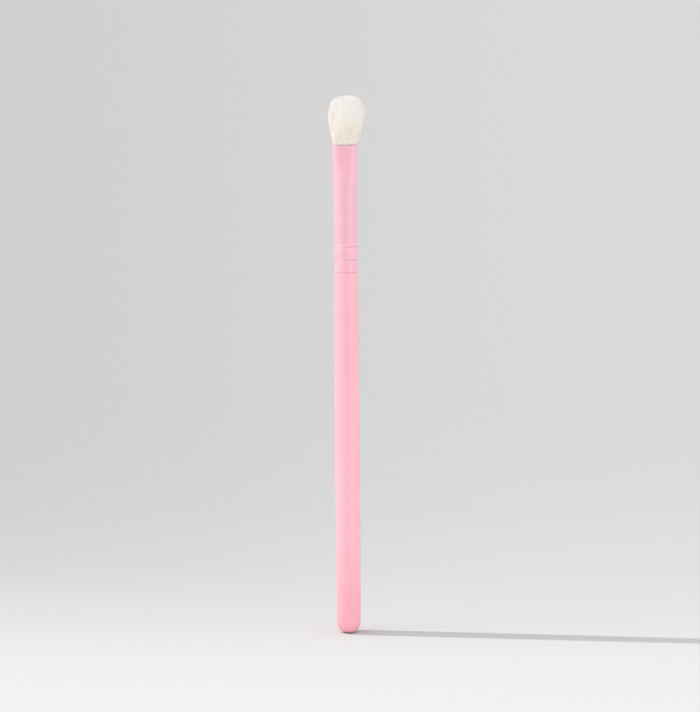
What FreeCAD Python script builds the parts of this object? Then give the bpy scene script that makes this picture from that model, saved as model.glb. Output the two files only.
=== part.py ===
import FreeCAD, Part

import math
import os

# Blending brush for eye shadow, standing on its rounded foot. Millimetres, +Z up along the brush.
# The origin is the centre of the foot's flat. The pinched mouth of the ferrule is wide along X.

# Turned birch handle: a domed foot, a long straight shank, and a neck that narrows to a shoulder
foot_length = 28.0
foot_flat_radius = 1.3
dome_radius = 3.8
shank_radius = 3.9
shank_length = 64.0
neck_length = 22.7
shoulder_radius = 3.67
shoulder_chamfer = 0.12
tenon_chamfer = 0.8

# Aluminium ferrule: a drawn tube with two crimped grooves, and a bead left standing between them
ferrule_length = 39.5
ferrule_radius = 3.63
ferrule_end_radius = 3.59
ferrule_wall = 0.3
crimp_height = 4.1
crimp_spacing = 4.2
crimp_depth = 0.15
crimp_lead = 0.95
crimp_shoulder = 0.55
bead_rise = 0.07

# Pinched mouth: flats pressed in front and back, while the sides swell because the girth stays
flat_length = 6.0
press_length = 5.0
lead_length = 5.0
lead_half_thickness = 3.45
press_half_thickness = 2.85
mouth_half_thickness = 2.7
mouth_half_width = 3.87
lip_bevel = 0.08

# Hair: roots in the ferrule, and a head that flares from the mouth and ends in a dome
hair_out_length = 15.8
hair_in_length = 14.5
head_half_width = 5.82
head_half_depth = 4.2
head_dome_height = 5.3
head_top_half_width = 1.2
rim_overhang = 0.13
rim_rise = 0.5
flare_bend_share = 0.8
flare_steps = 5
dome_steps = 5
oval_sides = 40

# Glue plug round the roots, the thread tied round them, and the glue film on the tenon
plug_end_thickness = 1.7
plug_root_length = 6.5
tenon_gap = 3.3
thread_diameter = 0.3
thread_turns = 3
thread_rise = 0.6
thread_web_share = 0.3
glue_film = 0.1
glue_margin = 0.4

# Heights and radii that follow from these
dome_height = math.sqrt(dome_radius**2 - foot_flat_radius**2)
handle_length = foot_length + shank_length + neck_length
mouth_height = handle_length + ferrule_length
tip_height = mouth_height + hair_out_length
flat_start = mouth_height - flat_length
press_start = flat_start - press_length
pinch_start = press_start - lead_length
root_end = mouth_height - hair_in_length
plug_bottom = root_end - plug_end_thickness
plug_top = root_end + plug_root_length
tenon_top = plug_bottom - tenon_gap
low_crimp = handle_length + crimp_height
high_crimp = low_crimp + crimp_spacing
crimps_top = high_crimp + crimp_lead
root_radius = press_half_thickness - ferrule_wall - thread_diameter

origin = FreeCAD.Vector(0, 0, 0)
up = FreeCAD.Vector(0, 0, 1)


def at(radius, height):
    """A point of a turned outline, which lies in the XZ plane."""
    return FreeCAD.Vector(radius, 0, height)


def line(start, end):
    return Part.LineSegment(start, end).toShape()


def lines(points):
    return [line(start, end) for start, end in zip(points, points[1:])]


def parabola(poles):
    curve = Part.BezierCurve()
    curve.setPoles(poles)
    return curve.toShape()


def bend(start, corner, end):
    """A parabola that leaves start towards corner and arrives at end from it, in two equal edges."""
    leaving = (start + corner) / 2
    arriving = (corner + end) / 2
    middle = (leaving + arriving) / 2
    return [parabola([start, leaving, middle]), parabola([middle, arriving, end])]


def turned(edges):
    """The solid that an outline in the XZ plane sweeps as it turns about the brush's axis."""
    bottom = edges[0].Vertexes[0].Point
    top = edges[-1].Vertexes[-1].Point
    axis = lines([top, at(0, top.z), at(0, bottom.z), bottom])
    return Part.Face(Part.Wire(edges + axis)).revolve(origin, up, 360)


def ring(inner, outer, low, high):
    return Part.makeCylinder(outer, high - low, at(0, low), up).cut(
        Part.makeCylinder(inner, high - low, at(0, low), up)
    )


def crimped_points(inset):
    """The round outline of the ferrule's lower end and its two crimps, moved inwards by inset."""
    end = ferrule_end_radius - inset
    groove = ferrule_radius - crimp_depth - inset
    bead = ferrule_radius + bead_rise - inset
    return [
        at(end, handle_length),
        at(end, low_crimp - crimp_lead),
        at(groove, low_crimp),
        at(bead, low_crimp + crimp_shoulder),
        at(bead, high_crimp - crimp_shoulder),
        at(groove, high_crimp),
        at(ferrule_radius - inset, crimps_top),
    ]


def mouth_points(half_size, bevel):
    """The last points of an outline at the ferrule's mouth, as pairs of half size and height."""
    if not bevel:
        return [(half_size, mouth_height)]
    return [(half_size, mouth_height - bevel), (half_size - bevel, mouth_height)]


def press_gap(inset, bevel):
    """The space between the two jaws that pinch the ferrule, as a bar along X with the jaws' side view."""
    lead_in = ferrule_radius + (ferrule_radius - lead_half_thickness)
    reach = ferrule_radius + mouth_half_width
    half_thicknesses = [
        (reach, handle_length),
        (reach, pinch_start - lead_length),
        (lead_in - inset, pinch_start - lead_length),
        (lead_half_thickness - inset, press_start),
        (press_half_thickness - inset, flat_start),
    ] + mouth_points(mouth_half_thickness - inset, bevel)
    front = [FreeCAD.Vector(-reach, -y, z) for y, z in half_thicknesses]
    back = [FreeCAD.Vector(-reach, y, z) for y, z in reversed(half_thicknesses)]
    side_view = Part.Face(Part.Wire(lines(front + back + front[:1])))
    return side_view.extrude(FreeCAD.Vector(2 * reach, 0, 0))


def ferrule_body(inset, bevel=0):
    """All that lies within the ferrule's outer surface, moved inwards by inset, with its lip bevelled."""
    points = crimped_points(inset) + [at(ferrule_radius - inset, pinch_start)]
    points += [at(half_width, height) for half_width, height in mouth_points(mouth_half_width - inset, bevel)]
    return turned(lines(points)).common(press_gap(inset, bevel))


def bore_slice(low, high):
    """The part of the ferrule's bore between two heights."""
    slab = Part.makeCylinder(ferrule_radius + mouth_half_width, high - low, at(0, low), up)
    return ferrule_body(ferrule_wall).common(slab)


def foot_dome_edge():
    """An arc round a centre on the axis, from the foot's flat up to the dome's full radius."""
    middle_turn = (math.asin(foot_flat_radius / dome_radius) + math.radians(90)) / 2
    middle = at(dome_radius * math.sin(middle_turn), dome_height - dome_radius * math.cos(middle_turn))
    return Part.Arc(at(foot_flat_radius, 0), middle, at(dome_radius, dome_height)).toShape()


def make_handle():
    neck_start = foot_length + shank_length
    neck_end = handle_length - shoulder_chamfer
    tenon_radius = ferrule_radius - ferrule_wall - glue_film
    film_bottom = crimps_top + glue_margin
    dome_top = at(dome_radius, dome_height)
    shank_low = at(shank_radius, foot_length)
    shank_high = at(shank_radius, neck_start)
    shoulder = at(shoulder_radius, neck_end)
    edges = [foot_dome_edge()]
    edges += bend(dome_top, at(shank_radius, (dome_height + foot_length) / 2), shank_low)
    edges.append(line(shank_low, shank_high))
    edges += bend(shank_high, at(shank_radius, (neck_start + neck_end) / 2), shoulder)
    tenon = [
        at(ferrule_radius - ferrule_wall, film_bottom),
        at(tenon_radius, film_bottom),
        at(tenon_radius, tenon_top - tenon_chamfer),
        at(tenon_radius - tenon_chamfer, tenon_top),
    ]
    edges += lines(
        [shoulder, at(shoulder_radius - shoulder_chamfer, handle_length)] + crimped_points(ferrule_wall) + tenon
    )
    return turned(edges)


def make_ferrule():
    return ferrule_body(0, lip_bevel).cut(ferrule_body(ferrule_wall))


def oval(half_width, height):
    """The hair's outline at one height, in the proportions of the head's width and depth."""
    half_depth = half_width * head_half_depth / head_half_width
    turns = [2 * math.pi * side / oval_sides for side in range(oval_sides)]
    points = [FreeCAD.Vector(half_width * math.cos(t), half_depth * math.sin(t), height) for t in turns]
    return Part.Wire(lines(points + points[:1]))


def hair_head():
    """The hair outside the ferrule: it leaves the mouth, swells over the rim, flares and ends in a dome."""
    root_half_width = (mouth_half_thickness - ferrule_wall) * head_half_width / head_half_depth
    rim_half_width = mouth_half_width + rim_overhang
    rim_top = mouth_height + rim_rise
    dome_base = tip_height - head_dome_height
    ovals = [oval(root_half_width, mouth_height)]
    for step in range(flare_steps):
        rise = step / flare_steps
        spread = 2 * rise * (1 - rise) + rise**2
        half_width = rim_half_width + (head_half_width - rim_half_width) * spread
        climb = 2 * rise * (1 - rise) * flare_bend_share + rise**2
        ovals.append(oval(half_width, rim_top + (dome_base - rim_top) * climb))
    last_turn = math.acos(head_top_half_width / head_half_width)
    for step in range(dome_steps + 1):
        turn = last_turn * step / dome_steps
        height = dome_base + head_dome_height * math.sin(turn) / math.sin(last_turn)
        ovals.append(oval(head_half_width * math.cos(turn), height))
    return Part.makeLoft(ovals, True, True)


def root_core():
    """The tied roots, round and narrower than the bore, with glue all round them."""
    return Part.makeCylinder(root_radius, plug_root_length, at(0, root_end), up)


def make_hair_bundle():
    return hair_head().fuse([bore_slice(plug_top, mouth_height), root_core()])


def make_hair_tie():
    """Turns of thread drawn tight round the roots, side by side, with their gaps filled by the glue."""
    valley = root_radius + thread_diameter * thread_web_share
    crest = root_radius + thread_diameter
    low = root_end + thread_rise
    points = [at(valley, low)]
    for turn in range(thread_turns):
        start = low + turn * thread_diameter
        points += [at(crest, start + thread_diameter / 2), at(valley, start + thread_diameter)]
    return turned(lines(points)).cut(root_core())


def make_root_glue():
    return bore_slice(plug_bottom, plug_top).cut([root_core(), make_hair_tie()])


def make_tenon_glue():
    bore_radius = ferrule_radius - ferrule_wall
    return ring(bore_radius - glue_film, bore_radius, crimps_top + glue_margin, tenon_top - tenon_chamfer)


pieces = {
    "handle": make_handle,
    "ferrule": make_ferrule,
    "hair_bundle": make_hair_bundle,
    "root_glue": make_root_glue,
    "hair_tie": make_hair_tie,
    "tenon_glue": make_tenon_glue,
}

os.makedirs("parts", exist_ok=True)
for node, make in pieces.items():
    shape = make()
    shape.exportStep(f"parts/{node}.step")
    box = shape.BoundBox
    print(f"{node}: valid {shape.isValid()}, {len(shape.Solids)} solid, {shape.Volume:.1f} mm3,"
          f" X {box.XMin:.2f} to {box.XMax:.2f}, Y {box.YMin:.2f} to {box.YMax:.2f},"
          f" Z {box.ZMin:.2f} to {box.ZMax:.2f}")
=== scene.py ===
import math
import random

import bmesh
import bpy
from mathutils import Matrix, Vector


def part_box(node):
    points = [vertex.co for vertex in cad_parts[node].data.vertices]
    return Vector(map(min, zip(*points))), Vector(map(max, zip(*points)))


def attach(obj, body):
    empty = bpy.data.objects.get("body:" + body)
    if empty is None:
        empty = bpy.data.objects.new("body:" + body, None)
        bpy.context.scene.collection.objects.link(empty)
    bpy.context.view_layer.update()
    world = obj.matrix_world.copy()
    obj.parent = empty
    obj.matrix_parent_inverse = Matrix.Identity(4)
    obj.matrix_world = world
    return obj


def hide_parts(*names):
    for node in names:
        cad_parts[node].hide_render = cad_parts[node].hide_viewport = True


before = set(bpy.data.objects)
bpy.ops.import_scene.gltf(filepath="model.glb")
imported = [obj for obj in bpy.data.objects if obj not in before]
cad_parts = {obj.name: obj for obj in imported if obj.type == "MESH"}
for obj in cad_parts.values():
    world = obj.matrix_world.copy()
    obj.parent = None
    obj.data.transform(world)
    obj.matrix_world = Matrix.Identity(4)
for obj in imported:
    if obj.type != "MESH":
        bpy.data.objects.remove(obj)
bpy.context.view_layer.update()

# Eye-shadow blending brush on its rounded foot: pink lacquered handle, pink enamelled ferrule with two
# crimps and a pinched mouth, and a flared dome of cream goat hair. Metres, +Z up along the brush.
millimetre = 0.001

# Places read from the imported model
tenon_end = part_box("handle")[1].z
joint_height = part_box("ferrule")[0].z
mouth_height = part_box("ferrule")[1].z
mouth_half_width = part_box("ferrule")[1].x
shank_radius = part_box("handle")[1].x
tip_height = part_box("hair_bundle")[1].z
head_half_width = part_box("hair_bundle")[1].x
head_half_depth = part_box("hair_bundle")[1].y

# Turned handle
foot_flat_radius = 1.3 * millimetre
foot_step_radius = 1.75 * millimetre
foot_step_height = 0.2 * millimetre
dome_radius = 3.8 * millimetre
taper_top = 28.0 * millimetre
neck_start = 92.0 * millimetre
shoulder_radius = 3.67 * millimetre
shoulder_round = 0.24 * millimetre
tenon_radius = 3.23 * millimetre

# Its lacquer's painted shade: how high the shade towards the foot reaches, and the painted dark rings of
# contact shadow at the foot and of shade in the joint against the ferrule
foot_shade_full_top = 4.0 * millimetre
foot_shade_end = 36.0 * millimetre
contact_shadow_top = 0.3 * millimetre
joint_shade_drop = 0.22 * millimetre
joint_shade_full_drop = 0.06 * millimetre
joint_shade_share = 0.16

# Drawn ferrule with its crimps and its pinched mouth
ferrule_radius = 3.63 * millimetre
ferrule_end_radius = 3.59 * millimetre
ferrule_wall = 0.3 * millimetre
low_crimp = joint_height + 4.2 * millimetre
high_crimp = low_crimp + 4.1 * millimetre
crimp_depth = 0.18 * millimetre
crimp_lead = 0.75 * millimetre
crimp_shoulder = 0.34 * millimetre
end_round = 0.06 * millimetre
bead_rise = 0.07 * millimetre
pinch_start = mouth_height - 16.0 * millimetre
press_start = mouth_height - 11.0 * millimetre
flat_start = mouth_height - 6.0 * millimetre
lead_half_thickness = 3.45 * millimetre
press_half_thickness = 2.85 * millimetre
mouth_half_thickness = 2.7 * millimetre
bend_reach = 0.8 * millimetre
crease_round = 0.9 * millimetre
crease_share = 1.7
lip_round = 0.09 * millimetre

# Its enamel: painted shade just below each crimp's bottom, and a painted highlight on a line above it
groove_shade_drop = 0.26 * millimetre
groove_shade_reach = 0.32 * millimetre
full_groove_shade_reach = 0.1 * millimetre
groove_shade_share = 0.5
crimp_highlight_rise = 0.36 * millimetre
crimp_highlight_reach = 0.4 * millimetre
full_crimp_highlight_reach = 0.15 * millimetre
crimp_highlight_share = 0.8

# Hair head: tight in the mouth, over the rim, flared to the crown, and leaning a little to the right
root_half_width = 3.5 * millimetre
root_half_depth = 2.35 * millimetre
root_depth = 0.4 * millimetre
rim_half_width = 3.86 * millimetre
rim_half_depth = 2.82 * millimetre
rim_rise = 0.4 * millimetre
rim_inset = 0.05 * millimetre
flare_start = mouth_height + 0.7 * millimetre
flare_bend = 1.4
crown_height = 5.3 * millimetre
crown_base = tip_height - crown_height
crown_power = 2.38
crown_spread = 0.22 * millimetre
crown_inset = 0.42 * millimetre
lean = 0.65 * millimetre
lean_bend = 0.7
loosening_drop = 4.0 * millimetre
loosening_height = 4.5 * millimetre

# Loose hairs: their thickness, how their tips stray, and how many end short of the skin
hair_radius = 0.03 * millimetre
hair_taper_share = 0.65
whole_length = 20.0 * millimetre
crown_length = 2.5 * millimetre
side_stray = 0.25 * millimetre
crown_stray = 0.4 * millimetre
tip_rise = 0.05 * millimetre
short_hair_share = 0.15
least_shortfall = 0.3 * millimetre
most_shortfall = 2.0 * millimetre
tuft_count = 60
tufts_across = 6
tuft_drift = 0.1 * millimetre
hair_drift = 0.25 * millimetre
whole_hair_steps = 7
crown_hair_steps = 4

# How finely curves and round surfaces are divided
handle_sides = 128
ferrule_sides = 144
core_sides = 64
dome_steps = 20
taper_steps = 12
neck_steps = 16
shoulder_steps = 5
flank_steps = 8
pinch_steps = 40
core_steps = 24
crown_steps = 18
crown_step_bend = 0.8
merge_distance = 0.0005 * millimetre

# The sockets of a Mix node that blends two colours
mix_share = 0
mix_under = 6
mix_over = 7
mix_result = 2


def linear(code):
    """Linear RGBA from an sRGB hex code."""
    values = [int(code[place:place + 2], 16) / 255 for place in (0, 2, 4)]
    return tuple(v / 12.92 if v <= 0.04045 else ((v + 0.055) / 1.055) ** 2.4 for v in values) + (1.0,)


def grey(level):
    """A share as a colour, for the stops of a ramp."""
    return (level, level, level, 1.0)


# Packed hair is cream, with painted light that pales it at the rim and painted shade that greys it at the
# fuzzy top, and a loose hair is paler, with painted shade at its top too
packed_colours = [
    (0.0, linear("FFFBF8")), (0.12, linear("FFF8F3")), (0.3, linear("FFEFE1")), (0.5, linear("FFF1E4")),
    (0.7, linear("F8F1EA")), (0.85, linear("D4CFCB")), (1.0, linear("B4B1AF")),
]
loose_colours = [
    (0.0, linear("FFF8F3")), (0.3, linear("FFF3E8")), (0.5, linear("FFF7F0")), (0.7, linear("FEFBF8")),
    (0.85, linear("E9E6E3")), (1.0, linear("E2E0DE")),
]

# Painted shade on the left, the side the key light falls on: across the crown, and down the head's edge as
# shares of its height
left_shade_start = -3.0 * millimetre
left_shade_end = 2.3 * millimetre
crown_shade_start = 0.5
crown_shade_end = 0.88
edge_shade_start_turn = math.radians(115)
edge_shade_full_turn = math.radians(150)
edge_shade_shares = [(0.0, grey(0.12)), (0.2, grey(0.25)), (0.42, grey(1.0)), (0.65, grey(0.9)), (0.88, grey(0.1))]

# The pattern of hairs and tufts, and how far light wanders through the head
tufts_per_radian = 12.0
hairs_per_radian = 40.0
tuft_length = 60.0 * millimetre
streak_share = 0.9
rim_wander = 1.5 * millimetre
crown_wander = 45.0 * millimetre


def blend(start, end, share):
    return start + (end - start) * share


def clamp(share):
    return min(max(share, 0.0), 1.0)


def smooth(share):
    """0 to 1 with level ends."""
    share = clamp(share)
    return share * share * (3 - 2 * share)


def node(tree, kind, settings=None, links=None, stops=()):
    """Adds a node to a tree: its properties and unlinked inputs, its linked inputs, and a ramp's stops."""
    added = tree.nodes.new(kind)
    for name, value in (settings or {}).items():
        if isinstance(name, str) and hasattr(added, name):
            setattr(added, name, value)
        else:
            added.inputs[name].default_value = value
    for name, source in (links or {}).items():
        tree.links.new(source, added.inputs[name])
    if stops:
        elements = added.color_ramp.elements
        while len(elements) < len(stops):
            elements.new(0.5)
        for element, (place, colour) in zip(elements, stops):
            element.position = place
            element.color = colour
    return added


def new_material(name):
    """A material, its node tree, and the object's coordinates there."""
    material = bpy.data.materials.new(name)
    material.use_nodes = True
    tree = material.node_tree
    tree.nodes.clear()
    return material, tree, node(tree, "ShaderNodeTexCoord").outputs["Object"]


def painted_ring_shades(tree, height):
    """The share of the painted dark rings: contact shadow round the foot's flat, and shade in the joint
    against the ferrule.
    """
    # Painted contact shadow round the foot's button, where it meets the floor
    contact_shadow = node(
        tree, "ShaderNodeMapRange",
        {"interpolation_type": "SMOOTHSTEP", "From Min": foot_step_height, "From Max": contact_shadow_top,
         "To Min": 1.0, "To Max": 0.0},
        {"Value": height},
    )
    # Painted shade in the joint just under the ferrule
    joint_shade = node(
        tree, "ShaderNodeMapRange",
        {"interpolation_type": "SMOOTHSTEP", "From Min": joint_height - joint_shade_drop,
         "From Max": joint_height - joint_shade_full_drop, "To Min": 0.0, "To Max": joint_shade_share},
        {"Value": height},
    )
    either = node(
        tree, "ShaderNodeMath", {"operation": "MAXIMUM"},
        {0: contact_shadow.outputs["Result"], 1: joint_shade.outputs["Result"]},
    )
    return either.outputs["Value"]


def lacquer_colour(tree, place, clouds):
    """Pink with painted shade that deepens it towards the foot, and painted dark rings at the foot and under
    the ferrule.
    """
    even = node(
        tree, "ShaderNodeValToRGB", {}, {"Fac": clouds},
        [(0.3, linear("F8B6C5")), (0.7, linear("FBBAC8"))],
    )
    height = node(tree, "ShaderNodeSeparateXYZ", {}, {"Vector": place}).outputs["Z"]
    # Painted shade: the pink is multiplied darker fully below 4 mm, fading out by 36 mm
    thickness = node(
        tree, "ShaderNodeMapRange",
        {"interpolation_type": "SMOOTHSTEP", "From Min": foot_shade_full_top, "From Max": foot_shade_end,
         "To Min": 1.0, "To Max": 0.0},
        {"Value": height},
    )
    foot_shaded = node(
        tree, "ShaderNodeMix", {"data_type": "RGBA", "blend_type": "MULTIPLY", mix_over: linear("FDEFF0")},
        {mix_share: thickness.outputs["Result"], mix_under: even.outputs["Color"]},
    )
    # The painted contact shadow and joint shade darken the pink to a deep red
    ring_shaded = node(
        tree, "ShaderNodeMix", {"data_type": "RGBA", "blend_type": "MULTIPLY", mix_over: linear("5A1420")},
        {mix_share: painted_ring_shades(tree, height), mix_under: foot_shaded.outputs[mix_result]},
    )
    return ring_shaded.outputs[mix_result]


def lacquer_material():
    """Satin polyurethane lacquer on turned birch: an even pink, with the faint swells of a flowing coat."""
    material, tree, place = new_material("pink_satin_lacquer_on_birch")
    swell_width = 1.2 * millimetre
    grain_width = 0.5 * millimetre
    grain_share = 0.35
    cloud_width = 9.0 * millimetre
    swells = node(tree, "ShaderNodeTexNoise", {"Scale": 1 / swell_width, "Detail": 2.0}, {"Vector": place})
    # The wood's grain shows through as ridges 25 times as long as they are wide
    along = node(tree, "ShaderNodeMapping", {"Scale": (1.0, 1.0, 0.04)}, {"Vector": place})
    grain = node(
        tree, "ShaderNodeTexNoise", {"Scale": 1 / grain_width, "Detail": 3.0},
        {"Vector": along.outputs["Vector"]},
    )
    clouds = node(
        tree, "ShaderNodeTexNoise", {"Scale": 1 / cloud_width, "Detail": 2.0}, {"Vector": place}
    ).outputs["Fac"]
    relief = node(
        tree, "ShaderNodeMath", {"operation": "MULTIPLY_ADD", 1: grain_share},
        {0: grain.outputs["Fac"], 2: swells.outputs["Fac"]},
    )
    bump = node(
        tree, "ShaderNodeBump", {"Strength": 0.35, "Distance": 0.012 * millimetre},
        {"Height": relief.outputs["Value"]},
    )
    gloss = node(tree, "ShaderNodeMapRange", {"To Min": 0.4, "To Max": 0.48}, {"Value": clouds})
    shader = node(
        tree, "ShaderNodeBsdfPrincipled",
        {"IOR": 1.5, "Coat Weight": 0.15, "Coat Roughness": 0.3, "Coat IOR": 1.5},
        {"Base Color": lacquer_colour(tree, place, clouds), "Roughness": gloss.outputs["Result"],
         "Normal": bump.outputs["Normal"]},
    )
    node(tree, "ShaderNodeOutputMaterial", {}, {"Surface": shader.outputs["BSDF"]})
    return material


def near_crimps(tree, height, offset, full_reach, reach, most):
    """A share that is at its most along a line at an offset above each crimp, and fades out beside it."""
    from_middle = node(
        tree, "ShaderNodeMath", {"operation": "SUBTRACT", 1: (low_crimp + high_crimp) / 2 + offset},
        {0: height},
    )
    off_middle = node(tree, "ShaderNodeMath", {"operation": "ABSOLUTE"}, {0: from_middle.outputs["Value"]})
    from_line = node(
        tree, "ShaderNodeMath", {"operation": "SUBTRACT", 1: (high_crimp - low_crimp) / 2},
        {0: off_middle.outputs["Value"]},
    )
    off_line = node(tree, "ShaderNodeMath", {"operation": "ABSOLUTE"}, {0: from_line.outputs["Value"]})
    share = node(
        tree, "ShaderNodeMapRange",
        {"interpolation_type": "SMOOTHSTEP", "From Min": full_reach, "From Max": reach, "To Min": most,
         "To Max": 0.0},
        {"Value": off_line.outputs["Value"]},
    )
    return share.outputs["Result"]


def enamel_colour(tree, place, clouds):
    """Pink with painted shade in each crimp's groove, and a painted highlight on a line above each crimp."""
    even = node(
        tree, "ShaderNodeValToRGB", {}, {"Fac": clouds},
        [(0.3, linear("F4B6C7")), (0.7, linear("F8BBCB"))],
    )
    height = node(tree, "ShaderNodeSeparateXYZ", {}, {"Vector": place}).outputs["Z"]
    # Painted shade along each crimp's groove
    groove_shades = near_crimps(tree, height, -groove_shade_drop, full_groove_shade_reach, groove_shade_reach, groove_shade_share)
    groove_shaded = node(
        tree, "ShaderNodeMix", {"data_type": "RGBA", "blend_type": "MULTIPLY", mix_over: linear("ECD9DE")},
        {mix_share: groove_shades, mix_under: even.outputs["Color"]},
    )
    # Painted highlight along a line just above each crimp
    crimp_highlights = near_crimps(tree, height, crimp_highlight_rise, full_crimp_highlight_reach, crimp_highlight_reach, crimp_highlight_share)
    crimp_highlighted = node(
        tree, "ShaderNodeMix", {"data_type": "RGBA", mix_over: linear("FFCCD8")},
        {mix_share: crimp_highlights, mix_under: groove_shaded.outputs[mix_result]},
    )
    return crimp_highlighted.outputs[mix_result]


def enamel_material():
    """Baked enamel on drawn aluminium: a slightly cooler pink than the handle's, over fine drawn lines."""
    material, tree, place = new_material("pink_enamel_on_drawn_aluminium")
    line_spacing = 0.3 * millimetre
    cloud_width = 6.0 * millimetre
    # The tube was drawn along its length, so its lines are long ones
    along = node(tree, "ShaderNodeMapping", {"Scale": (1.0, 1.0, 0.015)}, {"Vector": place})
    drawn = node(
        tree, "ShaderNodeTexNoise", {"Scale": 1 / line_spacing, "Detail": 3.0},
        {"Vector": along.outputs["Vector"]},
    )
    clouds = node(
        tree, "ShaderNodeTexNoise", {"Scale": 1 / cloud_width, "Detail": 2.0}, {"Vector": place}
    ).outputs["Fac"]
    bump = node(
        tree, "ShaderNodeBump", {"Strength": 0.3, "Distance": 0.006 * millimetre},
        {"Height": drawn.outputs["Fac"]},
    )
    gloss = node(tree, "ShaderNodeMapRange", {"To Min": 0.36, "To Max": 0.44}, {"Value": clouds})
    shader = node(
        tree, "ShaderNodeBsdfPrincipled",
        {"IOR": 1.5, "Coat Weight": 0.2, "Coat Roughness": 0.3, "Coat IOR": 1.5},
        {"Base Color": enamel_colour(tree, place, clouds), "Roughness": gloss.outputs["Result"],
         "Normal": bump.outputs["Normal"]},
    )
    node(tree, "ShaderNodeOutputMaterial", {}, {"Surface": shader.outputs["BSDF"]})
    return material


def hair_directions(tree, axes):
    """The turn round the head's oval, and coordinates in which hairs and tufts run up the head."""
    depth = node(
        tree, "ShaderNodeMath", {"operation": "MULTIPLY", 1: head_half_width / head_half_depth},
        {0: axes.outputs["Y"]},
    )
    round_turn = node(
        tree, "ShaderNodeMath", {"operation": "ARCTAN2"}, {0: depth.outputs["Value"], 1: axes.outputs["X"]}
    ).outputs["Value"]
    climb = node(
        tree, "ShaderNodeMath", {"operation": "MULTIPLY", 1: 1 / tuft_length}, {0: axes.outputs["Z"]}
    )
    along = node(tree, "ShaderNodeCombineXYZ", {}, {"X": round_turn, "Y": climb.outputs["Value"]})
    return round_turn, along.outputs["Vector"]


def streaked_cream(tree, rise, along, colours):
    """Cream by height, with darker tufts that fade out towards the crown, and each hair its own tone."""
    body = node(tree, "ShaderNodeValToRGB", {}, {"Fac": rise}, colours)
    tufts = node(tree, "ShaderNodeTexNoise", {"Scale": tufts_per_radian, "Detail": 2.0}, {"Vector": along})
    streak = node(
        tree, "ShaderNodeValToRGB", {}, {"Fac": tufts.outputs["Fac"]},
        [(0.4, linear("F9EFDF")), (0.58, linear("FFFFFF"))],
    )
    fade = node(
        tree, "ShaderNodeMapRange",
        {"From Min": 0.35, "From Max": 0.75, "To Min": streak_share, "To Max": 0.0}, {"Value": rise},
    )
    streaked = node(
        tree, "ShaderNodeMix", {"data_type": "RGBA", "blend_type": "MULTIPLY"},
        {mix_share: fade.outputs["Result"], mix_under: body.outputs["Color"],
         mix_over: streak.outputs["Color"]},
    )
    single = node(tree, "ShaderNodeNewGeometry").outputs["Random Per Island"]
    tone = node(
        tree, "ShaderNodeValToRGB", {}, {"Fac": single}, [(0.0, linear("FDFBF8")), (1.0, linear("FFFFFF"))]
    )
    toned = node(
        tree, "ShaderNodeMix", {"data_type": "RGBA", "blend_type": "MULTIPLY", mix_share: 1.0},
        {mix_under: streaked.outputs[mix_result], mix_over: tone.outputs["Color"]},
    )
    return toned.outputs[mix_result]


def painted_left_shade(tree, cream, sideways, rise, round_turn, left_crown_shade_tint, left_edge_shade_tint):
    """The hair's colour with painted shade on the left, where the key light falls: greyer there, and less
    cream at its edge.
    """
    side = node(
        tree, "ShaderNodeMapRange",
        {"From Min": left_shade_start, "From Max": left_shade_end, "To Min": 1.0, "To Max": 0.0},
        {"Value": sideways},
    )
    crown = node(
        tree, "ShaderNodeMapRange", {"From Min": crown_shade_start, "From Max": crown_shade_end},
        {"Value": rise},
    )
    left_shade_share = node(
        tree, "ShaderNodeMath", {"operation": "MULTIPLY"},
        {0: side.outputs["Result"], 1: crown.outputs["Result"]},
    )
    # Painted shade: the left of the crown is multiplied greyer
    left_shaded = node(
        tree, "ShaderNodeMix", {"data_type": "RGBA", "blend_type": "MULTIPLY", mix_over: linear(left_crown_shade_tint)},
        {mix_share: left_shade_share.outputs["Value"], mix_under: cream},
    )
    from_right = node(tree, "ShaderNodeMath", {"operation": "ABSOLUTE"}, {0: round_turn})
    edge = node(
        tree, "ShaderNodeMapRange", {"From Min": edge_shade_start_turn, "From Max": edge_shade_full_turn},
        {"Value": from_right.outputs["Value"]},
    )
    by_height = node(tree, "ShaderNodeValToRGB", {}, {"Fac": rise}, edge_shade_shares)
    edge_shade_share = node(
        tree, "ShaderNodeMath", {"operation": "MULTIPLY"},
        {0: edge.outputs["Result"], 1: by_height.outputs["Color"]},
    )
    # Painted shade: the head's left edge is multiplied greyer and less cream
    edge_shaded = node(
        tree, "ShaderNodeMix", {"data_type": "RGBA", "blend_type": "MULTIPLY", mix_over: linear(left_edge_shade_tint)},
        {mix_share: edge_shade_share.outputs["Value"], mix_under: left_shaded.outputs[mix_result]},
    )
    return edge_shaded.outputs[mix_result]


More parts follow.
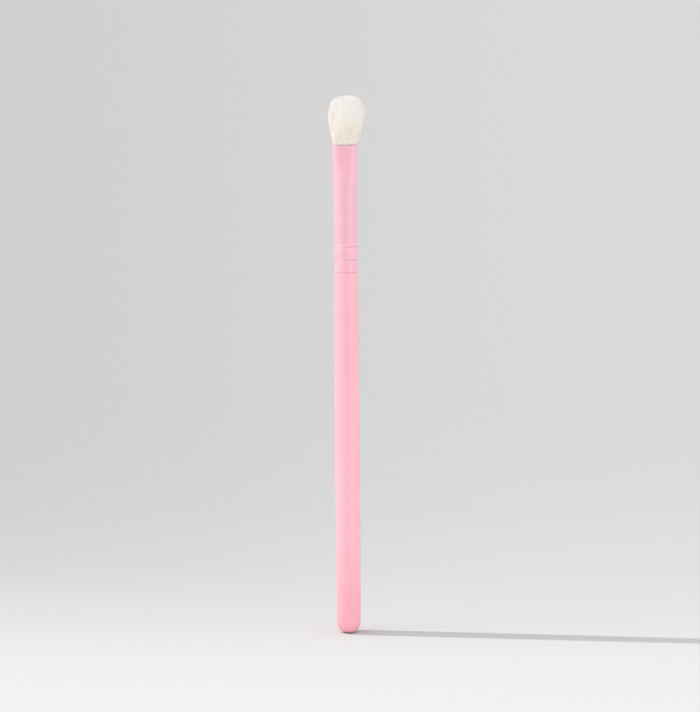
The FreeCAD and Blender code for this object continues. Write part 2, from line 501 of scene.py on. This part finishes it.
def goat_hair_material(name, colours, left_crown_shade_tint, left_edge_shade_tint, scatter, line_relief):
    """Bleached goat hair: cream white, more yellow where it is packed, with fine lines and a soft sheen."""
    material, tree, place = new_material(name)
    axes = node(tree, "ShaderNodeSeparateXYZ", {}, {"Vector": place})
    rise = node(
        tree, "ShaderNodeMapRange", {"From Min": mouth_height, "From Max": tip_height},
        {"Value": axes.outputs["Z"]},
    ).outputs["Result"]
    round_turn, along = hair_directions(tree, axes)
    cream = streaked_cream(tree, rise, along, colours)
    colour = painted_left_shade(tree, cream, axes.outputs["X"], rise, round_turn, left_crown_shade_tint, left_edge_shade_tint)
    # Light turns back soon from the hairs at the rim, and wanders far through the loose crown
    wander = node(
        tree, "ShaderNodeMapRange",
        {"From Min": 0.1, "From Max": 0.5, "To Min": rim_wander, "To Max": crown_wander}, {"Value": rise},
    )
    lines = node(tree, "ShaderNodeTexNoise", {"Scale": hairs_per_radian, "Detail": 2.0}, {"Vector": along})
    bump = node(
        tree, "ShaderNodeBump", {"Strength": line_relief, "Distance": 0.06 * millimetre},
        {"Height": lines.outputs["Fac"]},
    )
    shader = node(
        tree, "ShaderNodeBsdfPrincipled",
        {"Roughness": 0.55, "IOR": 1.55, "Specular IOR Level": 0.1, "Subsurface Weight": scatter,
         "Subsurface Radius": (1.0, 0.95, 0.9), "Sheen Weight": 0.25, "Sheen Roughness": 0.5},
        {"Base Color": colour, "Normal": bump.outputs["Normal"],
         "Subsurface Scale": wander.outputs["Result"]},
    )
    node(tree, "ShaderNodeOutputMaterial", {}, {"Surface": shader.outputs["BSDF"]})
    return material


def epoxy_material():
    """Cast epoxy: clear amber resin that set in the ferrule."""
    material, tree, place = new_material("amber_epoxy")
    cloud_width = 1.5 * millimetre
    clouds = node(tree, "ShaderNodeTexNoise", {"Scale": 1 / cloud_width, "Detail": 3.0}, {"Vector": place})
    colour = node(
        tree, "ShaderNodeValToRGB", {}, {"Fac": clouds.outputs["Fac"]},
        [(0.3, linear("D9C08A")), (0.7, linear("E6D3A6"))],
    )
    shader = node(
        tree, "ShaderNodeBsdfPrincipled", {"Roughness": 0.15, "IOR": 1.55, "Transmission Weight": 0.35},
        {"Base Color": colour.outputs["Color"]},
    )
    node(tree, "ShaderNodeOutputMaterial", {}, {"Surface": shader.outputs["BSDF"]})
    return material


def thread_material():
    """Twisted cotton thread: matt off-white, with its plies winding round it."""
    material, tree, place = new_material("twisted_cotton_thread")
    # The bands of a wave node are 0.31 of its unit apart
    band_share = 0.3125
    ply_spacing = 0.25 * millimetre
    plies = node(
        tree, "ShaderNodeTexWave", {"Scale": band_share / ply_spacing, "Distortion": 1.5}, {"Vector": place}
    )
    colour = node(
        tree, "ShaderNodeValToRGB", {}, {"Fac": plies.outputs["Fac"]},
        [(0.0, linear("D9D4C6")), (1.0, linear("EEEBE2"))],
    )
    bump = node(
        tree, "ShaderNodeBump", {"Strength": 0.5, "Distance": 0.03 * millimetre},
        {"Height": plies.outputs["Fac"]},
    )
    shader = node(
        tree, "ShaderNodeBsdfPrincipled", {"Roughness": 0.85, "Sheen Weight": 0.3},
        {"Base Color": colour.outputs["Color"], "Normal": bump.outputs["Normal"]},
    )
    node(tree, "ShaderNodeOutputMaterial", {}, {"Surface": shader.outputs["BSDF"]})
    return material


def finish_piece(mesh, material, node_name):
    """Makes a mesh a finished piece that rides on the brush and stands for a node."""
    mesh.materials.append(material)
    mesh.shade_smooth()
    piece = bpy.data.objects.new(mesh.name, mesh)
    bpy.context.scene.collection.objects.link(piece)
    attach(piece, "root")
    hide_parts(node_name)


def mesh_from(bm, name):
    mesh = bpy.data.meshes.new(name)
    bm.to_mesh(mesh)
    bm.free()
    return mesh


def turn(outline, sides):
    """A bmesh of an outline of (radius, height) pairs turned about the brush's axis."""
    bm = bmesh.new()
    vertices = [bm.verts.new((radius, 0, height)) for radius, height in outline]
    edges = [bm.edges.new(pair) for pair in zip(vertices, vertices[1:])]
    bmesh.ops.spin(
        bm, geom=vertices + edges, cent=(0, 0, 0), axis=(0, 0, 1), dvec=(0, 0, 0),
        angle=math.radians(360), steps=sides, use_merge=True,
    )
    bmesh.ops.remove_doubles(bm, verts=bm.verts, dist=merge_distance)
    bmesh.ops.recalc_face_normals(bm, faces=bm.faces)
    return bm


def corner_arc(start, corner, end, steps):
    """Points of a parabola that leaves start towards corner and arrives at end from it."""
    points = []
    for step in range(steps + 1):
        share = step / steps
        points.append(tuple(
            blend(blend(a, b, share), blend(b, c, share), share) for a, b, c in zip(start, corner, end)
        ))
    return points


def handle_outline():
    """From the centre of the foot up the lacquered outside, over the shoulder, and up the tenon."""
    # The stick stands on the low button left where the lathe cut it off
    outline = [(0.0, 0.0), (foot_flat_radius, 0.0), (foot_flat_radius, foot_step_height)]
    dome_top = math.sqrt(dome_radius**2 - foot_flat_radius**2)
    first_turn = math.asin(foot_step_radius / dome_radius)
    turns = [blend(first_turn, math.radians(90), step / dome_steps) for step in range(dome_steps + 1)]
    outline += [(dome_radius * math.sin(t), dome_top - dome_radius * math.cos(t)) for t in turns]
    taper_corner = (shank_radius, (dome_top + taper_top) / 2)
    outline += corner_arc((dome_radius, dome_top), taper_corner, (shank_radius, taper_top), taper_steps)[1:]
    shoulder = (shoulder_radius, joint_height - shoulder_round)
    neck_corner = (shank_radius, (neck_start + shoulder[1]) / 2)
    outline += corner_arc((shank_radius, neck_start), neck_corner, shoulder, neck_steps)
    shoulder_end = (shoulder_radius - shoulder_round, joint_height)
    outline += corner_arc(shoulder, (shoulder_radius, joint_height), shoulder_end, shoulder_steps)[1:]
    return outline + [(tenon_radius, joint_height), (tenon_radius, tenon_end), (0.0, tenon_end)]


def make_handle(material):
    mesh = mesh_from(turn(handle_outline(), handle_sides), "turned_handle")
    finish_piece(mesh, material, "handle")


def flank(start, end):
    """An S-shaped step between two (radius, height) points, level with the tube at both ends."""
    shares = [step / flank_steps for step in range(1, flank_steps + 1)]
    return [(blend(start[0], end[0], smooth(share)), blend(start[1], end[1], share)) for share in shares]


def ferrule_outline():
    """The ferrule's outside before it is pinched, from its lower end to its mouth."""
    groove = ferrule_radius - crimp_depth
    bead = ferrule_radius + bead_rise
    outline = [
        (ferrule_end_radius - end_round, joint_height),
        (ferrule_end_radius, joint_height + end_round),
        (ferrule_end_radius, joint_height + 2 * end_round),
    ]
    for crimp, below, above in ((low_crimp, ferrule_end_radius, bead), (high_crimp, bead, ferrule_radius)):
        outline.append((below, crimp - crimp_shoulder))
        outline += flank(outline[-1], (groove, crimp))
        outline += flank(outline[-1], (above, crimp + crimp_lead))
    outline.append((ferrule_radius, (high_crimp + pinch_start) / 2))
    shares = [step / pinch_steps for step in range(pinch_steps + 1)]
    outline += [
        (blend(ferrule_radius, mouth_half_width, share), blend(pinch_start, mouth_height, share))
        for share in shares
    ]
    return outline


def jaw_half_thickness(height):
    """Half the gap between the jaws that pinched the tube, at one height."""
    if height < press_start:
        share = (height - pinch_start) / (press_start - pinch_start)
        return blend(ferrule_radius, lead_half_thickness, share)
    if height < flat_start:
        share = (height - press_start) / (flat_start - press_start)
        return blend(lead_half_thickness, press_half_thickness, share)
    share = (height - flat_start) / (mouth_height - flat_start)
    return blend(press_half_thickness, mouth_half_thickness, share)


def eased_half_thickness(height):
    """The jaws' gap with its bends rounded, as bent sheet is."""
    places = [max(height + bend_reach * k / 3, pinch_start) for k in range(-3, 4)]
    return sum(jaw_half_thickness(min(place, mouth_height)) for place in places) / len(places)


def pinch(bm):
    """Presses the tube flat in front and back between the jaws, with a soft crease beside each flat."""
    for vertex in bm.verts:
        if vertex.co.z <= pinch_start:
            continue
        round_radius = math.hypot(vertex.co.x, vertex.co.y)
        depth = max(round_radius - eased_half_thickness(vertex.co.z), 0.0)
        if depth == 0:
            continue
        softness = min(crease_round, crease_share * depth)
        onset = round_radius - depth + softness**2 / (4 * depth)
        excess = abs(vertex.co.y) - onset
        # The larger of 0 and the excess, rounded where they meet, which is at the crease
        push = (excess + math.sqrt(excess**2 + softness**2)) / 2
        vertex.co.y = math.copysign(abs(vertex.co.y) - push, vertex.co.y)


def make_ferrule(material):
    bm = turn(ferrule_outline(), ferrule_sides)
    pinch(bm)
    bmesh.ops.recalc_face_normals(bm, faces=bm.faces)
    bmesh.ops.solidify(bm, geom=bm.faces[:], thickness=ferrule_wall)
    # The lip's corners lie at the mouth, between its level face and a wall
    lip_bottom = mouth_height - 0.001 * millimetre
    wall_slope = 0.5
    lip = [e for e in bm.edges if all(v.co.z > lip_bottom for v in e.verts)]
    corners = [e for e in lip if any(f.normal.z < wall_slope for f in e.link_faces)]
    bmesh.ops.bevel(
        bm, geom=corners, offset=lip_round, affect="EDGES", segments=3, profile=0.5, material=-1,
    )
    finish_piece(mesh_from(bm, "crimped_ferrule"), material, "ferrule")


def head_half_sizes(height):
    """Half the head's width and depth at a height, from its roots to the base of its crown."""
    rim = smooth((height - mouth_height) / rim_rise)
    share = clamp((height - flare_start) / (crown_base - flare_start))
    flare = 1 - (1 - share) ** flare_bend
    half_width = blend(blend(root_half_width, rim_half_width, rim), head_half_width + crown_spread, flare)
    half_depth = blend(blend(root_half_depth, rim_half_depth, rim), head_half_depth, flare)
    return half_width, half_depth


def lean_at(height):
    """How far the head has leaned to the right at a height: not at all in the mouth, and most at its tip."""
    return lean * clamp((height - mouth_height) / (tip_height - mouth_height)) ** lean_bend


def crown_rise(ring):
    """The crown's height over its base, as a share, at a share of the way out from its middle."""
    return max(1 - ring**crown_power, 0.0) ** (1 / crown_power)


def core_inset(height):
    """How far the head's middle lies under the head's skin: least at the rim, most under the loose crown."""
    return blend(rim_inset, crown_inset, smooth((height - crown_base + loosening_drop) / loosening_height))


def make_hair_core(material):
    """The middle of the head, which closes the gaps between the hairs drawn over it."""
    low = mouth_height - root_depth
    heights = [blend(low, crown_base, step / core_steps) for step in range(core_steps + 1)]
    outline = [(0.0, low)]
    outline += [(head_half_sizes(z)[0] - core_inset(z), z) for z in heights]
    top = crown_height - crown_inset
    widest = head_half_width + crown_spread - core_inset(crown_base)
    turns = [math.radians(90 * step / crown_steps) for step in range(1, crown_steps)]
    rings = [math.cos(t) ** crown_step_bend for t in turns]
    outline += [(widest * ring, crown_base + top * crown_rise(ring)) for ring in rings]
    outline.append((0.0, crown_base + top))
    bm = turn(outline, core_sides)
    for vertex in bm.verts:
        half_width, half_depth = head_half_sizes(vertex.co.z)
        inset = core_inset(vertex.co.z)
        vertex.co.y *= (half_depth - inset) / (half_width - inset)
        vertex.co.x += lean_at(vertex.co.z)
    finish_piece(mesh_from(bm, "hair_core"), material, "hair_bundle")


def drift(source, spread):
    """A random step sideways and one to the front."""
    return source.gauss(0, spread), source.gauss(0, spread)


def hair_path(source, leans, inner, outer, visible_length, stray):
    """The points and radii of one hair, up to its tip near the head's skin."""
    low = mouth_height - root_depth
    ring = math.sqrt(blend(inner**2, outer**2, source.random()))
    direction = source.uniform(0, 2 * math.pi)
    side = ring * math.cos(direction)
    front = ring * math.sin(direction)
    end = crown_base + crown_height * crown_rise(ring) + source.gauss(tip_rise, stray)
    if source.random() < short_hair_share:
        end -= source.uniform(least_shortfall, most_shortfall)
    start = max(low, end - visible_length)
    tuft = leans[int(direction / (2 * math.pi) * tuft_count + ring * tufts_across) % tuft_count]
    own = drift(source, hair_drift)
    steps = whole_hair_steps if visible_length > crown_length else crown_hair_steps
    points = []
    for step in range(steps + 1):
        height = blend(start, end, step / steps)
        share = (height - low) / (end - low)
        half_width, half_depth = head_half_sizes(height)
        x = side * half_width + (tuft[0] + own[0]) * share**2 + lean_at(height)
        y = front * half_depth + (tuft[1] + own[1]) * share**2
        points.append((x, y, height, hair_radius * (1.0 - hair_taper_share * share**3)))
    return points


def make_hairs(name, material, count, inner, outer, visible_length, stray, seed):
    """One piece of the head: hairs whose roots lie between two shares of the mouth's outline."""
    source = random.Random(seed)
    leans = [drift(source, tuft_drift) for _ in range(tuft_count)]
    # With a bevel of 1 metre, each point's own radius is its hair's radius in metres
    curve = bpy.data.curves.new(name, "CURVE")
    curve.dimensions = "3D"
    curve.bevel_depth = 1.0
    curve.bevel_resolution = 0
    curve.use_fill_caps = True
    for _ in range(count):
        points = hair_path(source, leans, inner, outer, visible_length, stray)
        spline = curve.splines.new("POLY")
        spline.points.add(len(points) - 1)
        for point, (x, y, z, radius) in zip(spline.points, points):
            point.co = (x, y, z, 1)
            point.radius = radius
    drawn = bpy.data.objects.new(name + "_lines", curve)
    mesh = bpy.data.meshes.new_from_object(drawn)
    bpy.data.objects.remove(drawn)
    mesh.name = name
    finish_piece(mesh, material, "hair_bundle")


def dress_node(name, material):
    """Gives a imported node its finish."""
    for material_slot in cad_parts[name].material_slots:
        material_slot.material = material


# Light: strengths found by comparing renders with the photograph. The room's light has a gap round the camera
key_strength = 1.75
left_strength = 7.7
right_strength = 8.9
room_strength = 0.86
gap_strength = 0.04
gap_turn = math.radians(4)
gap_reach = math.radians(20)
full_gap_reach = math.radians(9)
lamp_distance = 1.6

# Sheet of background paper: a floor, a cove and a wall
paper_front = -1.6
paper_back = 3.0
paper_half_width = 3.5
cove_radius = 0.8
cove_steps = 16
wall_height = 2.5

# Its tone: a painted light falloff graded from front to back and from left to right, and a painted shadow of
# the camera's stand
tone_front = -1.0
tone_back = 0.6
tone_fan_reach = 0.8
tone_fan_slope = 0.13
tone_fan_full = 0.12
paper_share = 0.749
stand_place = (0.05, -0.62, 0.0)
stand_shade_reach = 0.2
stand_shade_end = 0.36
stand_share = 0.05
plain_start = 0.08
plain_full = 0.3

# Camera, with its angles in degrees
lens_length = 129.2
camera_place = (1.04 * millimetre, -797.5 * millimetre, 175.4 * millimetre)
camera_dip = 6.237
camera_roll = -0.473


def paper_tone(tree, axes):
    """Pale grey with a painted light falloff: brightest just in front of the brush, and a little darker to the
    left.
    """
    depth = node(
        tree, "ShaderNodeMapRange", {"From Min": tone_front, "From Max": tone_back},
        {"Value": axes.outputs["Y"]},
    )
    tone = node(tree, "ShaderNodeValToRGB", {}, {"Fac": depth.outputs["Result"]}, [
        (0.0, linear("D5D5D5")), (0.35, linear("D8D8D8")), (0.562, linear("F3F3F3")), (0.6, linear("F1F1F1")),
        (0.628, linear("EBEBEB")), (0.657, linear("E6E6E6")), (0.69, linear("E1E1E1")),
        (0.727, linear("DEDEDE")), (0.769, linear("DADADA")), (0.818, linear("D8D8D8")),
        (0.874, linear("D7D7D7")), (0.964, linear("D6D6D6")),
    ])
    behind = node(tree, "ShaderNodeMath", {"operation": "MAXIMUM", 1: 0.0}, {0: axes.outputs["Y"]})
    distance = node(
        tree, "ShaderNodeMath", {"operation": "ADD", 1: tone_fan_reach}, {0: behind.outputs["Value"]}
    )
    slope = node(
        tree, "ShaderNodeMath", {"operation": "DIVIDE"},
        {0: axes.outputs["X"], 1: distance.outputs["Value"]},
    )
    across = node(
        tree, "ShaderNodeMapRange", {"From Min": -tone_fan_slope, "From Max": tone_fan_slope},
        {"Value": slope.outputs["Value"]},
    )
    side = node(
        tree, "ShaderNodeValToRGB", {}, {"Fac": across.outputs["Result"]},
        [(0.0, grey(0.934)), (0.27, grey(0.965)), (0.5, grey(1.0)), (0.73, grey(1.027)), (1.0, grey(1.04))],
    )
    far_side = node(
        tree, "ShaderNodeMapRange", {"From Min": 0.0, "From Max": tone_fan_full}, {"Value": axes.outputs["Y"]}
    )
    fanned = node(
        tree, "ShaderNodeMix", {"data_type": "RGBA", "blend_type": "MULTIPLY"},
        {mix_share: far_side.outputs["Result"], mix_under: tone.outputs["Color"],
         mix_over: side.outputs["Color"]},
    )
    return fanned.outputs[mix_result]


def lit_paper(tree, place, tone):
    """The paper's colour with its painted falloff and the painted shadow of the stand, which the lamps light.
    """
    # A painted shadow of the camera's stand keeps a patch of the sheet in front of the brush dark
    to_stand = node(tree, "ShaderNodeVectorMath", {"operation": "DISTANCE", 1: stand_place}, {0: place})
    open_sheet = node(
        tree, "ShaderNodeMapRange",
        {"From Min": stand_shade_reach, "From Max": stand_shade_end, "To Min": stand_share,
         "To Max": paper_share},
        {"Value": to_stand.outputs["Value"]},
    )
    shaded = node(
        tree, "ShaderNodeVectorMath", {"operation": "SCALE"}, {0: tone, "Scale": open_sheet.outputs["Result"]}
    )
    # The sheet is a cool white, which the warm lamps turn neutral
    cool = node(
        tree, "ShaderNodeMix",
        {"data_type": "RGBA", "blend_type": "MULTIPLY", mix_share: 1.0, mix_over: linear("F9FCFF")},
        {mix_under: shaded.outputs["Vector"]},
    )
    return cool.outputs[mix_result]


def plain_view(tree, axes):
    """The share of the plain tone: all of it where the camera sees the sheet away from the brush."""
    rays = node(tree, "ShaderNodeLightPath")
    looked_at = node(
        tree, "ShaderNodeMath", {"operation": "MAXIMUM"},
        {0: rays.outputs["Is Camera Ray"], 1: rays.outputs["Is Transmission Ray"]},
    )
    away = node(tree, "ShaderNodeMath", {"operation": "ABSOLUTE"}, {0: axes.outputs["Y"]})
    far = node(
        tree, "ShaderNodeMapRange",
        {"interpolation_type": "SMOOTHSTEP", "From Min": plain_start, "From Max": plain_full},
        {"Value": away.outputs["Value"]},
    )
    share = node(
        tree, "ShaderNodeMath", {"operation": "MULTIPLY"},
        {0: looked_at.outputs["Value"], 1: far.outputs["Result"]},
    )
    return share.outputs["Value"]


def paper_material():
    """Seamless background paper: matt and even, lit by the lamps near the brush and plain away from it."""
    material, tree, place = new_material("seamless_background_paper")
    axes = node(tree, "ShaderNodeSeparateXYZ", {}, {"Vector": place})
    tone = paper_tone(tree, axes)
    paper = node(
        tree, "ShaderNodeBsdfPrincipled", {"Roughness": 0.95, "Specular IOR Level": 0.1},
        {"Base Color": lit_paper(tree, place, tone)},
    )
    glow = node(tree, "ShaderNodeEmission", {"Strength": 1.0}, {"Color": tone})
    mixed = node(
        tree, "ShaderNodeMixShader", {},
        {0: plain_view(tree, axes), 1: paper.outputs["BSDF"], 2: glow.outputs["Emission"]},
    )
    node(tree, "ShaderNodeOutputMaterial", {}, {"Surface": mixed.outputs["Shader"]})
    return material


def make_paper():
    """One sheet: the floor, a curve up behind it and the wall."""
    bm = bmesh.new()
    turns = [math.radians(90 * step / cove_steps) for step in range(cove_steps + 1)]
    side_view = [(paper_front, 0.0)]
    side_view += [
        (paper_back + cove_radius * math.sin(t), cove_radius * (1 - math.cos(t))) for t in turns
    ]
    side_view.append((paper_back + cove_radius, wall_height))
    vertices = [bm.verts.new((-paper_half_width, y, z)) for y, z in side_view]
    edges = [bm.edges.new(pair) for pair in zip(vertices, vertices[1:])]
    made = bmesh.ops.extrude_edge_only(bm, edges=edges)["geom"]
    moved = [part for part in made if isinstance(part, bmesh.types.BMVert)]
    bmesh.ops.translate(bm, verts=moved, vec=(2 * paper_half_width, 0, 0))
    mesh = mesh_from(bm, "background_paper")
    mesh.materials.append(paper_material())
    mesh.shade_smooth()
    paper = bpy.data.objects.new(mesh.name, mesh)
    bpy.context.scene.collection.objects.link(paper)


def around(azimuth, elevation, distance):
    """A place round the brush: azimuth from the camera's side, positive to the right, in degrees."""
    a, e = math.radians(azimuth), math.radians(elevation)
    return Vector((math.sin(a) * math.cos(e), -math.cos(a) * math.cos(e), math.sin(e))) * distance


def place_lamp(lamp, colour, strength, azimuth, elevation):
    """Hangs a lamp round the brush and turns it towards the brush's middle."""
    lamp.energy = strength
    lamp.color = linear(colour)[:3]
    held = bpy.data.objects.new(lamp.name, lamp)
    bpy.context.scene.collection.objects.link(held)
    middle = Vector((0, 0, tip_height / 2))
    held.location = middle + around(azimuth, elevation, lamp_distance)
    held.rotation_euler = (middle - held.location).to_track_quat("-Z", "Y").to_euler()


def add_key(name, colour, strength, azimuth, elevation, blur):
    """A small bright lamp far away, whose shadow blurs by an angle in degrees."""
    lamp = bpy.data.lights.new(name, "SUN")
    lamp.angle = math.radians(blur)
    place_lamp(lamp, colour, strength, azimuth, elevation)


def add_soft_lamp(name, colour, strength, azimuth, elevation, width, height):
    lamp = bpy.data.lights.new(name, "AREA")
    lamp.shape = "RECTANGLE"
    lamp.size = width
    lamp.size_y = height
    place_lamp(lamp, colour, strength, azimuth, elevation)


def make_lamps():
    add_key("key_left", "FFFAF3", key_strength, azimuth=-98.9, elevation=50, blur=1.2)
    add_soft_lamp("soft_left", "FFFDFA", left_strength, azimuth=-70, elevation=25, width=1.2, height=1.6)
    add_soft_lamp("low_right", "FFFDFB", right_strength, azimuth=48, elevation=3, width=1.4, height=0.6)


def make_world():
    """Even pale room light, with a dark patch where the camera stands."""
    world = bpy.data.worlds.new("studio_room")
    bpy.context.scene.world = world
    world.use_nodes = True
    tree = world.node_tree
    tree.nodes.clear()
    direction = node(tree, "ShaderNodeTexCoord").outputs["Generated"]
    facing = node(
        tree, "ShaderNodeVectorMath",
        {"operation": "DOT_PRODUCT", 1: (math.sin(gap_turn), -math.cos(gap_turn), 0.0)},
        {0: direction},
    )
    brightness = node(
        tree, "ShaderNodeMapRange",
        {"interpolation_type": "SMOOTHSTEP", "From Min": math.cos(gap_reach),
         "From Max": math.cos(full_gap_reach), "To Min": room_strength, "To Max": gap_strength},
        {"Value": facing.outputs["Value"]},
    )
    room = node(
        tree, "ShaderNodeBackground", {"Color": linear("FFFDFB")}, {"Strength": brightness.outputs["Result"]}
    )
    seen = node(tree, "ShaderNodeBackground", {"Color": linear("D5D5D5"), "Strength": 1.0})
    rays = node(tree, "ShaderNodeLightPath")
    mixed = node(
        tree, "ShaderNodeMixShader", {},
        {0: rays.outputs["Is Camera Ray"], 1: room.outputs["Background"], 2: seen.outputs["Background"]},
    )
    node(tree, "ShaderNodeOutputWorld", {}, {"Surface": mixed.outputs["Shader"]})


def make_camera():
    """A long lens a little above the brush's tip, level across but for half a degree."""
    camera = bpy.data.cameras.new("camera")
    camera.sensor_fit = "VERTICAL"
    camera.sensor_height = 36.0
    camera.lens = lens_length
    camera.clip_end = 20
    held = bpy.data.objects.new("camera", camera)
    bpy.context.scene.collection.objects.link(held)
    pitch = Matrix.Rotation(math.radians(90 - camera_dip), 4, "X")
    roll = Matrix.Rotation(math.radians(camera_roll), 4, "Z")
    held.matrix_world = Matrix.Translation(camera_place) @ pitch @ roll
    bpy.context.scene.camera = held


make_handle(lacquer_material())
make_ferrule(enamel_material())
# Each hair material's two tints are painted shade on the head's left side
loose_hair = goat_hair_material(
    "loose_goat_hair", loose_colours, left_crown_shade_tint="FAF9FB", left_edge_shade_tint="E6E8EE", scatter=0.0, line_relief=0.0
)
packed_hair = goat_hair_material(
    "packed_goat_hair", packed_colours, left_crown_shade_tint="D2D1D5", left_edge_shade_tint="D3D8E3", scatter=1.0, line_relief=0.6
)
make_hair_core(packed_hair)
make_hairs(
    "side_hairs", loose_hair, count=50, inner=0.985, outer=1.0,
    visible_length=whole_length, stray=side_stray, seed=11,
)
make_hairs(
    "edge_hairs", loose_hair, count=340, inner=0.85, outer=0.985,
    visible_length=whole_length, stray=side_stray, seed=13,
)
make_hairs(
    "crown_hairs", loose_hair, count=800, inner=0.0, outer=0.95,
    visible_length=crown_length, stray=crown_stray, seed=12,
)
epoxy = epoxy_material()
dress_node("root_glue", epoxy)
dress_node("tenon_glue", epoxy)
dress_node("hair_tie", thread_material())

make_paper()
make_lamps()
make_world()
make_camera()
bpy.context.scene.view_settings.view_transform = "Standard"
